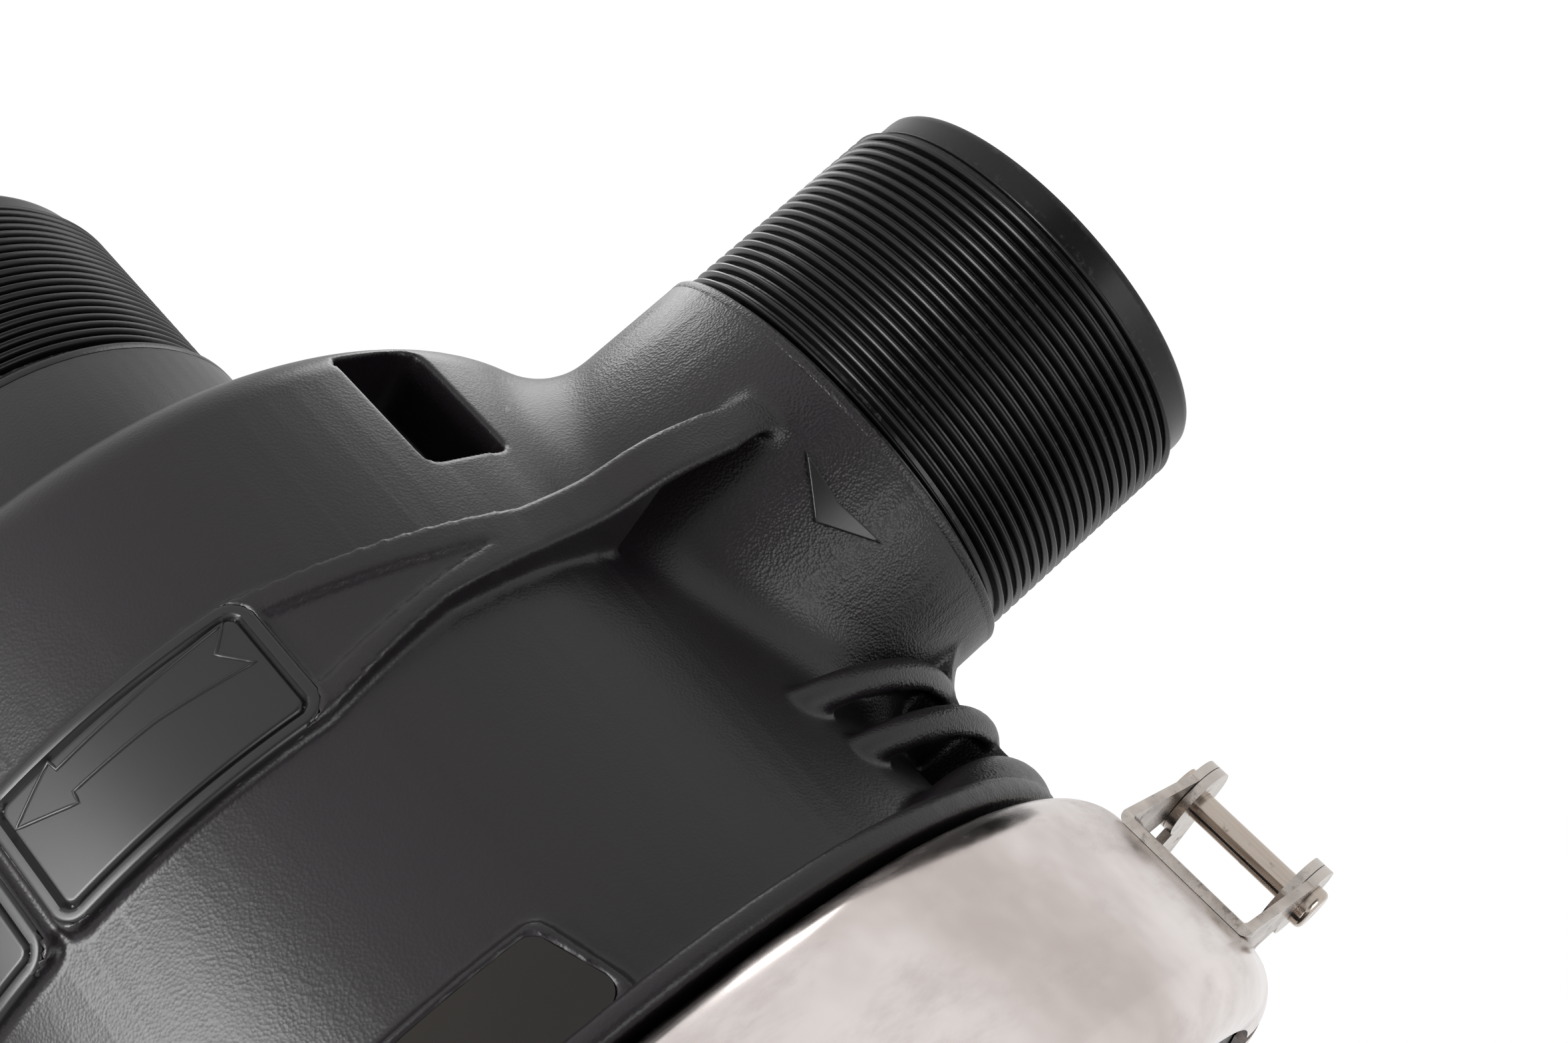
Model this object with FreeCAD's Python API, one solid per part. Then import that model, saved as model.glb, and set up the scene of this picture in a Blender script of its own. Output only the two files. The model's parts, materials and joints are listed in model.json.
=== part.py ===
import FreeCAD, Part
import math
import os
from FreeCAD import Vector

# Three inch angle filter: a moulded housing with a side port and a bottom port, a long cover,
# a two-piece steel band clamp with a hinge and a swing bolt, and a disc element inside.
# Millimetres, +Z up. The origin is the centre of the bottom port's end face.
# The side port points along -X, and the housing is symmetric about the plane Y = 0.

# Ports
port_thread_radius = 43.94
port_pilot_radius = 42.3
port_pilot_length = 4.6
port_thread_length = 50.0
port_bore_radius = 36.0
port_neck_radius = 45.4
side_port_reach = 174.0
side_port_height = 159.0
neck_fillet = 14.0

# Housing shell
shell_radius = 88.5
shell_wall = 4.5
shell_corner_radius = 11.0
shell_below_neck = 7.6
shell_bottom_drop = 8.0
standpipe_wall = 4.0
standpipe_rise = 47.0

# Flanges and seal
flange_rise = 60.1
flange_neck_clearance = 4.5
flange_joint_gap = 0.2
seal_section_radius = 2.4
seal_neck_margin = 1.5
seal_groove_clearance = 0.15

# Lip under the clamp, and the lobe that it ends in over the side port
lip_setback = 5.0
lip_thickness = 4.6
lip_gap = 1.2
lip_round = 1.9
lip_root = 4.0
lobe_overhang = 1.6
lobe_thickness = 15.2
lobe_drop = 9.9
lobe_spread = 36.0
lobe_tilt = 14.0

# Band clamp
clamp_overhang = 18.2
clamp_sheet = 2.0
clamp_height = 45.4
clamp_shoulder_radius = 9.0
clamp_lip_flat = 1.2
clamp_flange_clearance = 0.3
clamp_end_gap = 7.0

# Hinge of the clamp
hinge_pin_offset = 13.9
hinge_pin_radius = 2.65
hinge_pin_head_radius = 4.0
hinge_pin_head_height = 2.2
hinge_pin_head_round = 1.0
hinge_pin_tail_height = 1.3
hinge_pin_clearance = 0.08
pin_press_clearance = 0.02
rivet_gap = 0.05
bracket_sheet = 1.7
bracket_bend_radius = 1.5
bracket_inner_bend = 0.7
bracket_seat_gap = 0.05
bracket_ear_radius = 7.2
bracket_ear_shoulder = 78.5
bracket_base_width = 22.0
bracket_start = 5.5
inner_ear_gap = 20.4
ear_clearance = 0.15

# Swing bolt closure
bolt_radius = 5.0
bolt_length = 60.0
bolt_eye_radius = 8.5
bolt_eye_thickness = 11.0
bolt_pivot_setback = 14.0
bolt_pivot_radius = 3.0
bolt_pivot_head_radius = 5.2
bolt_ear_clearance = 0.4
bolt_tip_chamfer = 1.0
lug_setback = 12.0
lug_sheet = 3.0
lug_reach = 28.0
lug_height = 26.0
lug_slot_clearance = 0.8
lug_corner_radius = 5.0
washer_radius = 10.0
washer_thickness = 2.0
washer_clearance = 0.12
nut_width = 17.0
nut_height = 8.0
nut_backed_off = 9.0
nut_gap = 0.1
latched_gap = 0.4
hexagon_chamfer = 2.0

# Cover
cover_length = 255.5
cover_dome_height = 42.0
cover_knuckle_radius = 30.0
cover_boss_radius = 24.0
cover_boss_height = 10.0
cover_rib_count = 12
cover_rib_width = 4.0
cover_rib_depth = 4.0
cover_rib_margin = 12.0

# Drain plug in the cover
plug_radius = 10.4
plug_length = 16.0
plug_clearance = 0.08
plug_hex_width = 24.0
plug_hex_height = 9.0
plug_washer_radius = 15.0
plug_washer_thickness = 2.0

# Disc element
element_seat_gap = 0.2
element_piece_gap = 0.1
element_headroom = 48.6
element_base_radius = 66.0
element_base_thickness = 6.0
element_base_overhang = 2.0
element_socket_depth = 16.0
element_socket_wall = 4.0
element_socket_clearance = 0.5
disc_outer_radius = 62.0
disc_inner_radius = 43.0
disc_pack_count = 6
disc_pack_chamfer = 1.0
disc_pack_gap = 0.2
spine_radius = 42.5
spine_wall = 4.0
spine_slot_count = 8
spine_slot_width = 14.0
spine_slot_margin = 10.0
plate_thickness = 6.0
stud_radius = 8.0
stud_overhang = 8.0
stud_clearance = 0.08
knob_hub_wall = 6.0
knob_radius = 26.0
knob_height = 18.0
knob_wing_count = 4
knob_wing_width = 7.0
knob_wing_height = 12.6

# Web and scooped ribs between the side port and the lip
web_thickness = 8.0
web_reach = 102.4
web_setback = 0.9
web_curve_rise = 10.1
web_curve_sag = 3.0
rib_reach = 104.8
rib_thickness = 6.2
rib_tilt = 7.0
rib_rim = 4.0
rib_floor = 0.9
lower_rib_rise = 4.2
lower_rib_spread = 31.0
rib_pitch = 11.2
upper_rib_spread = 28.0

# Belt round the shell: ledges beside the neck, wedges and framed panels
belt_rise = 9.0
belt_thickness = 9.0
belt_raise = 2.2
ledge_pocket_depth = 8.0
ledge_pocket_wall = 2.4
ledge_bury = 4.8
ledge_round = 0.9
panel_drop = 9.4
panel_height = 25.0
panel_half_angle = 15.2
panel_raise = 2.6
panel_pitch = 32.0
panel_groove_inset = 2.4
panel_groove_width = 1.3
panel_groove_depth = 1.0
panel_corner = 2.5
panel_round = 0.9
panel_overlap_angle = 1.0
wedge_angle = 42.0
wedge_lean = 13.3
wedge_lean_angle = 60.0
wedge_recess = 1.0
wedge_shoulder = 0.72
wedge_border = 4.5
badge_gap = 0.8
badge_height = 18.2
badge_half_width_bottom = 26.0
badge_half_width_top = 31.0
badge_raise = 2.2
badge_frame = 1.5
badge_recess = 1.4
badge_corner = 3.0
badge_round = 0.9
badge_thickness = 1.0
badge_clearance = 0.15
badge_seat_gap = 0.02

# Open pockets in the lower part of the shell
pocket_angle = 47.5
pocket_width = 18.6
pocket_rise = 6.5
pocket_height = 28.5
pocket_depth = 15.5
pocket_corner = 3.0

# The ledge's wall in plan, from its tip on the neck: distance from the neck's end, distance off its side
ledge_line = [(10.8, 0.4), (14.6, 3.9), (21.1, 7.7), (28.4, 12.2), (35.9, 15.4), (43.4, 17.4), (49.4, 20.4)]

# Heights and places that follow from the sizes above
thread_end = port_pilot_length + port_thread_length
neck_top = side_port_height + port_neck_radius
shell_floor = side_port_height - port_neck_radius - shell_below_neck
standpipe_height = side_port_height + standpipe_rise
joint_height = neck_top + flange_rise
clamp_bottom = joint_height - clamp_height / 2
clamp_top = joint_height + clamp_height / 2
clamp_radius = shell_radius + clamp_overhang
clamp_lip_radius = clamp_radius - clamp_shoulder_radius - clamp_lip_flat
flange_neck_radius = clamp_lip_radius - flange_neck_clearance
seal_ring_radius = flange_neck_radius + seal_neck_margin
lip_radius = clamp_radius - lip_setback
lobe_reach = lip_radius + lobe_overhang
lip_top = clamp_bottom - lip_gap
lip_bottom = lip_top - lip_thickness
lobe_height = lip_top - lobe_drop
lower_rib_height = neck_top + lower_rib_rise
upper_rib_height = lower_rib_height + rib_pitch
belt_top = side_port_height + belt_rise
belt_bottom = belt_top - belt_thickness
panel_bottom = side_port_height - panel_drop
panel_top = panel_bottom + panel_height
badge_top = lip_bottom - badge_gap
badge_bottom = badge_top - badge_height
pocket_bottom = shell_floor + pocket_rise
pocket_top = pocket_bottom + pocket_height
pocket_floor_radius = shell_radius - pocket_depth
cover_top = joint_height + cover_length
cover_shoulder = cover_top - cover_dome_height
boss_top = cover_top + cover_boss_height
hinge_x = -(clamp_radius + hinge_pin_offset)
bolt_x = clamp_radius + hinge_pin_offset
outer_ear_gap = inner_ear_gap + 2 * bracket_sheet + 2 * ear_clearance
bolt_ear_gap = bolt_eye_thickness + 2 * bolt_ear_clearance
bracket_seat_radius = clamp_radius + bracket_seat_gap
element_floor = standpipe_height + element_seat_gap
discs_bottom = element_floor + element_base_thickness
discs_top = cover_shoulder - element_headroom
disc_pack_step = (discs_top - discs_bottom) / disc_pack_count
disc_pack_height = disc_pack_step - disc_pack_gap
plate_bottom = discs_top + element_piece_gap
knob_bottom = plate_bottom + plate_thickness + element_piece_gap

# Larger than the whole filter, for cutting blocks and tools
FAR = 700.0

# How far solids that become one reach into each other
OVERLAP = 1.0

Z = Vector(0, 0, 1)
Y = Vector(0, 1, 0)
X = Vector(1, 0, 0)
ORIGIN = Vector(0, 0, 0)


def save(shape, node):
    shape.exportStep("parts/" + node + ".step")
    print(node, shape.isValid(), len(shape.Solids), round(shape.Volume / 1000.0, 1))


def polygon_face(points):
    corners = [Vector(*p) for p in points]
    return Part.Face(Part.makePolygon(corners + corners[:1]))


def wire_face(edges):
    return Part.Face(Part.Wire(Part.__sortEdges__(edges)))


def revolve_z(points):
    return polygon_face([(r, 0, z) for r, z in points]).revolve(ORIGIN, Z, 360)


def tube(outer, inner, bottom, height):
    base = Vector(0, 0, bottom)
    return Part.makeCylinder(outer, height, base).cut(Part.makeCylinder(inner, height, base))


def box(low, high):
    return Part.makeBox(high[0] - low[0], high[1] - low[1], high[2] - low[2], Vector(*low))


def upright_cylinder(radius, x=0.0, y=0.0):
    return Part.makeCylinder(radius, 2 * FAR, Vector(x, y, -FAR))


def mirror_y(shape):
    return shape.mirror(ORIGIN, Y)


def both_sides(shape):
    return [shape, mirror_y(shape)]


def turned(shape, degrees, centre=ORIGIN, axis=Z):
    copy = shape.copy()
    copy.rotate(centre, axis, degrees)
    return copy


def line(start, end):
    return Part.LineSegment(Vector(*start), Vector(*end)).toShape()


# An arc in the plane Y = 0 round a centre, between two angles above the +X direction.
def arc(centre, radius, start, end):
    points = []
    for angle in (start, 0.5 * (start + end), end):
        turn = math.radians(angle)
        points.append(flat(centre[0] + radius * math.cos(turn), centre[1] + radius * math.sin(turn)))
    return Part.Arc(*[Vector(*point) for point in points]).toShape()


def flat(x, z):
    return (x, 0, z)


# Straight lines through (x, z) points of the plane Y = 0.
def path(points):
    return [line(flat(*a), flat(*b)) for a, b in zip(points, points[1:])]


def runs_along(edge, axis):
    return abs(edge.tangentAt(edge.FirstParameter).dot(axis)) > 0.9


def round_edges(block, axis, radius):
    return block.makeFillet(radius, [edge for edge in block.Edges if runs_along(edge, axis)])


# The edges of a belt piece that lie on its outer face.
def outer_edges(shape, radius):
    found = []
    for edge in shape.Edges:
        if all(math.hypot(v.X, v.Y) > radius - 0.01 for v in edge.Vertexes):
            found.append(edge)
    return found


# The shell is a cylinder with a rounded lower corner and a shallow cone down to the bottom neck.
def shell_solid(inset, top, bottom, foot_radius):
    radius = shell_radius - inset
    corner = shell_corner_radius - inset
    floor = shell_floor + inset
    centre = (radius - corner, floor + corner)
    foot_top = floor - shell_bottom_drop
    edges = path([(0, top), (0, bottom), (foot_radius, bottom), (foot_radius, foot_top), (centre[0], floor)])
    edges.append(arc(centre, corner, -90, 0))
    edges += path([(radius, centre[1]), (radius, top), (0, top)])
    return wire_face(edges).revolve(ORIGIN, Z, 360)


# A port is a pilot, the thread's outer cylinder and a plain neck, along +Z from its end face.
def port_outside(neck_end):
    pilot = Part.makeCylinder(port_pilot_radius, port_pilot_length)
    thread = Part.makeCylinder(port_thread_radius, port_thread_length, Vector(0, 0, port_pilot_length))
    neck = Part.makeCylinder(port_neck_radius, neck_end - thread_end, Vector(0, 0, thread_end))
    return pilot.fuse([thread, neck])


def to_side_port(shape):
    copy = shape.copy()
    copy.rotate(ORIGIN, Y, 90)
    copy.translate(Vector(-side_port_reach, 0, side_port_height))
    return copy


def fillet_neck_root(shape):
    root = []
    for edge in shape.Edges:
        middle = edge.valueAt(0.5 * (edge.FirstParameter + edge.LastParameter))
        on_shell = abs(math.hypot(middle.x, middle.y) - shell_radius) < 0.5
        off_port = math.hypot(middle.y, middle.z - side_port_height)
        if on_shell and middle.x < 0 and abs(off_port - port_neck_radius) < 0.5:
            root.append(edge)
    return shape.makeFillet(neck_fillet, root)


def shell_outside():
    shell = shell_solid(0, clamp_bottom, thread_end, port_neck_radius)
    side_neck = to_side_port(port_outside(side_port_reach - shell_radius / 2))
    body = fillet_neck_root(shell.fuse(side_neck).removeSplitter())
    return body.fuse(port_outside(shell_floor - shell_bottom_drop)).removeSplitter()


# Each flange follows the inside of the clamp's channel with a small clearance.
def flange(lower):
    gap = clamp_sheet + clamp_flange_clearance
    reach = clamp_radius - gap
    round_radius = clamp_shoulder_radius - gap
    depth = clamp_height / 2 - gap
    face = flange_joint_gap / 2
    inner = shell_radius - shell_wall
    neck_end = clamp_height / 2
    corner = (reach - round_radius, depth - round_radius)
    edges = path([(inner, face), (reach, face), (reach, corner[1])])
    edges.append(arc(corner, round_radius, 0, 90))
    edges += path([(corner[0], depth), (flange_neck_radius, depth), (flange_neck_radius, neck_end),
                   (inner, neck_end), (inner, face)])
    ring = wire_face(edges).revolve(ORIGIN, Z, 360)
    if lower:
        ring = ring.mirror(ORIGIN, Z)
    ring.translate(Vector(0, 0, joint_height))
    return ring


def seal_groove():
    half_width = seal_section_radius + seal_groove_clearance
    depth = 2 * seal_section_radius + seal_groove_clearance
    return tube(seal_ring_radius + half_width, seal_ring_radius - half_width, joint_height - depth, depth)


# The rounded lip below the clamp, with a hollow curve down to the shell.
def lip():
    inner = shell_radius - shell_wall / 2
    root = (shell_radius + lip_root, lip_bottom - lip_root)
    rim = lip_radius - lip_round
    edges = path([(inner, clamp_bottom), (inner, root[1]), (shell_radius, root[1])])
    edges.append(arc(root, lip_root, 180, 90))
    edges += path([(root[0], lip_bottom), (rim, lip_bottom)])
    edges.append(arc((rim, lip_bottom + lip_round), lip_round, -90, 0))
    edges += path([(lip_radius, lip_bottom + lip_round), (lip_radius, lip_top - lip_round)])
    edges.append(arc((rim, lip_top - lip_round), lip_round, 0, 90))
    edges += path([(rim, lip_top), (flange_neck_radius, lip_top), (flange_neck_radius, clamp_bottom),
                   (inner, clamp_bottom)])
    return wire_face(edges).revolve(ORIGIN, Z, 360)


# A circle that stands out most over the side port and sinks into another round wall at the sides.
def swelling_circle(reach, wall_radius, spread):
    x = wall_radius * math.cos(math.radians(spread))
    y = wall_radius * math.sin(math.radians(spread))
    shift = (reach ** 2 - x ** 2 - y ** 2) / (2 * (reach - x))
    return reach - shift, shift


def swelling(reach, wall_radius, spread, inset=0.0):
    radius, shift = swelling_circle(reach, wall_radius, spread)
    return upright_cylinder(radius - inset, -shift)


# A slab that is level along Y and falls towards the side port when the tilt is positive.
def tilted_slab(reach, height, low, high, tilt):
    slab = box((-FAR, -FAR, low), (FAR, FAR, high))
    slab.rotate(ORIGIN, Y, -tilt)
    slab.translate(Vector(-reach, 0, height))
    return slab


# A round-nosed shelf that stands out most over the side port and fades into the shell at both ends.
def nose(reach, spread, thickness, height, tilt):
    half = thickness / 2
    radius, shift = swelling_circle(reach, shell_radius, spread)
    core = Part.makeCylinder(radius - half, thickness, Z * -half)
    shelf = Part.makeTorus(radius - half, half).fuse(core)
    shelf.translate(Vector(-shift, 0, 0))
    shelf.rotate(Vector(-reach, 0, 0), Y, tilt)
    shelf.translate(Z * height)
    return shelf


def outside_shell(shape):
    side = box((-FAR, -FAR, 0), (0, FAR, lip_top))
    return shape.common(side).cut(upright_cylinder(shell_radius - shell_wall / 2))


# The lobe that the lip ends in over the side port, like the tip of a thumb.
def lobe():
    return outside_shell(nose(lobe_reach, lobe_spread, lobe_thickness, lobe_height, -lobe_tilt))


# A rib has a scoop behind its rounded rim.
def scooped_rib(height, spread):
    half = rib_thickness / 2
    rib = nose(rib_reach, spread, rib_thickness, height, rib_tilt)
    scoop = swelling(rib_reach, shell_radius, spread, rib_rim)
    scoop = scoop.common(tilted_slab(rib_reach, height, rib_floor - half, rib_thickness, -rib_tilt))
    return outside_shell(rib.cut(scoop))


# The upright web over the side port, with its hollow curve from the neck to the ribs.
def web():
    foot_x = -(side_port_reach - thread_end - web_setback)
    inner = -shell_radius + shell_wall / 2
    foot = neck_top - web_curve_sag
    start = Vector(foot_x, 0, neck_top - OVERLAP / 2)
    end = Vector(-web_reach, 0, neck_top + web_curve_rise)
    middle = (start + end) / 2 + Vector(web_curve_sag, 0, -web_curve_sag)
    edges = [Part.Arc(start, middle, end).toShape()]
    edges += path([(-web_reach, end.z), (-web_reach, lobe_height), (inner, lobe_height), (inner, foot),
                   (foot_x, foot), (foot_x, start.z)])
    face = wire_face(edges)
    face.translate(Vector(0, -web_thickness / 2, 0))
    return face.extrude(Vector(0, web_thickness, 0))


def on_belt(radius, angle):
    turn = math.radians(angle)
    return Vector(-radius * math.sin(turn), -radius * math.cos(turn), belt_bottom)


# The outer wall of a wedge stands out further towards the side port than the panels do.
def wedge_wall(inset):
    centre = on_belt(wedge_lean, wedge_lean_angle)
    start = on_belt(shell_radius + belt_raise, panel_half_angle)
    return upright_cylinder((start - centre).Length - inset, centre.x, centre.y)


# The point where a ray from the shell's axis meets the wedge's outer wall.
def on_wedge(angle):
    centre = on_belt(wedge_lean, wedge_lean_angle)
    radius = (on_belt(shell_radius + belt_raise, panel_half_angle) - centre).Length
    turn = math.radians(wedge_lean_angle - angle)
    along = wedge_lean * math.cos(turn)
    across = wedge_lean * math.sin(turn)
    return on_belt(along + math.sqrt(radius ** 2 - across ** 2), angle)


# The ledge's wall in plan: each point is so far from the neck's end and so far off its side.
def ledge_points(inset):
    neck_end = side_port_reach - thread_end
    points = []
    for setback, offset in ledge_line:
        points.append(Vector(setback - neck_end, inset - port_neck_radius - offset, belt_bottom))
    return points


def spline(points):
    curve = Part.BSplineCurve()
    curve.interpolate(points)
    return curve.toShape()


def plan_face(curve, points):
    edges = [Part.LineSegment(a, b).toShape() for a, b in zip(points, points[1:])]
    return wire_face([curve] + edges)


# The ledge is a tongue on the neck that swings out to the belt, with a lens of hollow behind its wall.
def ledge():
    buried = ledge_bury - port_neck_radius
    wall = ledge_points(0) + [on_wedge(wedge_angle)]
    inside = on_belt(shell_radius - ledge_bury, wedge_angle)
    corner = Vector(on_belt(shell_radius - shell_corner_radius, wedge_angle).x, buried, belt_bottom)
    tip = Vector(wall[0].x, buried, belt_bottom)
    solid = plan_face(spline(wall), [wall[-1], inside, corner, tip, wall[0]]).extrude(Z * belt_thickness)
    rims = [edge for edge in solid.Edges if isinstance(edge.Curve, Part.BSplineCurve)]
    solid = solid.makeFillet(ledge_round, rims)
    lens = ledge_points(ledge_pocket_wall)[1:-2]
    end = Vector(lens[0].x, buried, belt_bottom)
    hollow = plan_face(spline(lens), [lens[-1], corner, end, lens[0]])
    hollow.translate(Z * (belt_thickness - ledge_pocket_depth))
    return solid.cut(hollow.extrude(Z * belt_thickness))


def shell_band(raise_by):
    return tube(shell_radius + raise_by, shell_radius - OVERLAP, shell_floor, clamp_bottom - shell_floor)


def panel_outline(inset):
    half = (shell_radius + panel_raise) * math.sin(math.radians(panel_half_angle)) - inset
    block = box((-half, -FAR, panel_bottom + inset), (half, 0, panel_top - inset))
    return round_edges(block, Y, panel_corner)


# A framed panel on the belt, centred on -Y, with a groove inside its edge.
def framed_panel():
    reach = shell_radius + panel_raise
    solid = panel_outline(0).common(shell_band(panel_raise))
    solid = solid.makeFillet(panel_round, outer_edges(solid, reach))
    ring = panel_outline(panel_groove_inset).cut(panel_outline(panel_groove_inset + panel_groove_width))
    return solid.cut(ring.cut(upright_cylinder(reach - panel_groove_depth)))


# The wedge widens from the ledge's wall to the first panel and has a sunk triangle.
def wedge():
    tip = on_wedge(wedge_angle).x
    root = on_belt(shell_radius + belt_raise, panel_half_angle - panel_overlap_angle).x
    shoulder = tip * wedge_shoulder
    half = belt_thickness / 2
    outline = [(tip, belt_bottom), (root, panel_bottom), (root, panel_top)]
    outline += [(shoulder, belt_top + OVERLAP), (tip, belt_top)]
    front = polygon_face([flat(*p) for p in outline]).extrude(Y * -FAR)
    solid = front.common(wedge_wall(0)).cut(upright_cylinder(shell_radius - OVERLAP))
    sunk = [(tip + wedge_border, belt_top - half), (root, panel_bottom + wedge_border)]
    sunk += [(root, panel_top - wedge_border), (shoulder, belt_top - half / 2)]
    hollow = polygon_face([flat(*p) for p in sunk]).extrude(Y * -FAR)
    return solid.cut(hollow.cut(wedge_wall(wedge_recess)))


def badge_block(inset):
    low = badge_half_width_bottom - inset
    high = badge_half_width_top - inset
    bottom = badge_bottom + inset
    top = badge_top - inset
    outline = [(-low, bottom), (low, bottom), (high, top), (-high, top)]
    block = polygon_face([flat(*p) for p in outline]).extrude(Y * -FAR)
    return round_edges(block, Y, badge_corner)


def badge_frame_ring():
    solid = badge_block(0).common(shell_band(badge_raise))
    return solid.makeFillet(badge_round, outer_edges(solid, shell_radius + badge_raise))


def badge_seat():
    return badge_block(badge_frame).cut(upright_cylinder(shell_radius + badge_raise - badge_recess))


def badge():
    floor = shell_radius + badge_raise - badge_recess
    skin = tube(floor + badge_thickness, floor + badge_seat_gap, badge_bottom, badge_height)
    return badge_block(badge_frame + badge_clearance).common(skin)


# An open pocket in the wall of the shell, below the belt.
def pocket_block(grow, floor_radius):
    half = pocket_width / 2 + grow
    block = box((floor_radius, -half, pocket_bottom - grow), (shell_radius + 10, half, pocket_top + grow))
    return turned(round_edges(block, X, pocket_corner + grow), 270 - pocket_angle)


def housing_inside():
    floor = shell_floor + shell_wall - shell_bottom_drop
    standpipe_radius = port_bore_radius + standpipe_wall
    cavity = shell_solid(shell_wall, joint_height + OVERLAP, floor - OVERLAP, standpipe_radius + OVERLAP)
    return cavity.cut(Part.makeCylinder(standpipe_radius, standpipe_height))


def housing():
    features = [flange(True), lip(), lobe(), web()]
    features.append(scooped_rib(upper_rib_height, upper_rib_spread))
    features.append(scooped_rib(lower_rib_height, lower_rib_spread))
    features += both_sides(ledge()) + both_sides(wedge())
    features += [framed_panel(), turned(framed_panel(), panel_pitch)]
    features.append(badge_frame_ring())
    solid = shell_outside().fuse(features)
    liners = both_sides(pocket_block(shell_wall, pocket_floor_radius - shell_wall))
    hollow = housing_inside().cut(liners)
    side_bore = Part.makeCylinder(port_bore_radius, side_port_reach - port_bore_radius - 2 * standpipe_wall)
    bottom_bore = Part.makeCylinder(port_bore_radius, standpipe_height)
    cuts = [hollow, to_side_port(side_bore), bottom_bore, seal_groove(), badge_seat()]
    cuts += both_sides(pocket_block(0, pocket_floor_radius))
    return solid.cut(cuts).removeSplitter()


# The closed end of the cover: a knuckle and a flatter crown, both tangent to each other.
def dome(inset, bottom):
    knuckle = cover_knuckle_radius
    side = shell_radius - knuckle
    rise = cover_dome_height - knuckle
    crown = (side ** 2 + cover_dome_height ** 2 - knuckle ** 2) / (2 * rise)
    crown_centre = (0, cover_top - crown)
    meet = math.degrees(math.asin((crown - cover_dome_height) / (crown - knuckle)))
    wall = shell_radius - inset
    edges = path([(0, cover_top - inset), (0, bottom), (wall, bottom), (wall, cover_shoulder)])
    edges.append(arc((side, cover_shoulder), knuckle - inset, 0, meet))
    edges.append(arc(crown_centre, crown - inset, meet, 90))
    return wire_face(edges).revolve(ORIGIN, Z, 360)


def cover():
    wall_start = clamp_top - OVERLAP
    rib = box((shell_radius - OVERLAP, -cover_rib_width / 2, clamp_top + cover_rib_margin),
              (shell_radius + cover_rib_depth, cover_rib_width / 2, cover_shoulder - cover_rib_margin))
    ribs = [turned(rib, 360.0 * k / cover_rib_count) for k in range(cover_rib_count)]
    boss_start = cover_top - shell_wall - 3 * OVERLAP
    boss = Part.makeCylinder(cover_boss_radius, boss_top - boss_start, Vector(0, 0, boss_start))
    hole = Part.makeCylinder(plug_radius + plug_clearance, FAR, Vector(0, 0, cover_shoulder))
    solid = dome(0, wall_start).fuse([flange(False), boss] + ribs)
    return solid.cut([dome(shell_wall, wall_start - OVERLAP), hole]).removeSplitter()


def seal():
    centre = joint_height - seal_section_radius - seal_groove_clearance / 2
    return Part.makeTorus(seal_ring_radius, seal_section_radius, Vector(0, 0, centre))


# The clamp's channel: a flat outside with two rounded shoulders that hold the flanges together.
def clamp_channel():
    shoulder = clamp_radius - clamp_shoulder_radius
    low = clamp_bottom + clamp_shoulder_radius
    high = clamp_top - clamp_shoulder_radius
    edges = []
    for inset in (0, clamp_sheet):
        wall = clamp_radius - inset
        radius = clamp_shoulder_radius - inset
        edges += path([(clamp_lip_radius, clamp_bottom + inset), (shoulder, clamp_bottom + inset)])
        edges.append(arc((shoulder, low), radius, -90, 0))
        edges += path([(wall, low), (wall, high)])
        edges.append(arc((shoulder, high), radius, 0, 90))
        edges += path([(shoulder, clamp_top - inset), (clamp_lip_radius, clamp_top - inset)])
    edges += path([(clamp_lip_radius, clamp_bottom), (clamp_lip_radius, clamp_bottom + clamp_sheet)])
    edges += path([(clamp_lip_radius, clamp_top), (clamp_lip_radius, clamp_top - clamp_sheet)])
    return wire_face(edges).revolve(ORIGIN, Z, 360)


def clamp_half(front):
    side = box((-FAR, clamp_end_gap / 2, 0), (FAR, FAR, FAR))
    return clamp_channel().common(mirror_y(side) if front else side)


# One flat ear of a bracket, from the curved base out to the pin.
def ear(pin_x, pin_y, base_start, base_end, bottom):
    inner = bracket_seat_radius
    outer = inner + bracket_sheet
    points = [(math.sqrt(inner ** 2 - y ** 2), y) for y in (base_start, base_end)]
    points.append((math.sqrt(outer ** 2 - base_end ** 2), base_end))
    turn = math.radians(bracket_ear_shoulder)
    points.append((pin_x + bracket_ear_radius * math.cos(turn), pin_y + bracket_ear_radius * math.sin(turn)))
    points.append((pin_x, pin_y))
    plate = polygon_face([(x, y, bottom) for x, y in points]).extrude(Vector(0, 0, bracket_sheet))
    plate = plate.fuse(Part.makeCylinder(bracket_ear_radius, bracket_sheet, Vector(pin_x, pin_y, bottom)))
    return plate.cut(upright_cylinder(inner)).removeSplitter()


def bend_edges(shape, radius, heights):
    found = []
    for edge in shape.Edges:
        round_edge = hasattr(edge.Curve, "Radius") and abs(edge.Curve.Radius - radius) < 0.01
        level = [height for height in heights if abs(edge.BoundBox.ZMin - height) < 0.01]
        if round_edge and level and edge.BoundBox.ZLength < 0.01:
            found.append(edge)
    return found


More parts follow.
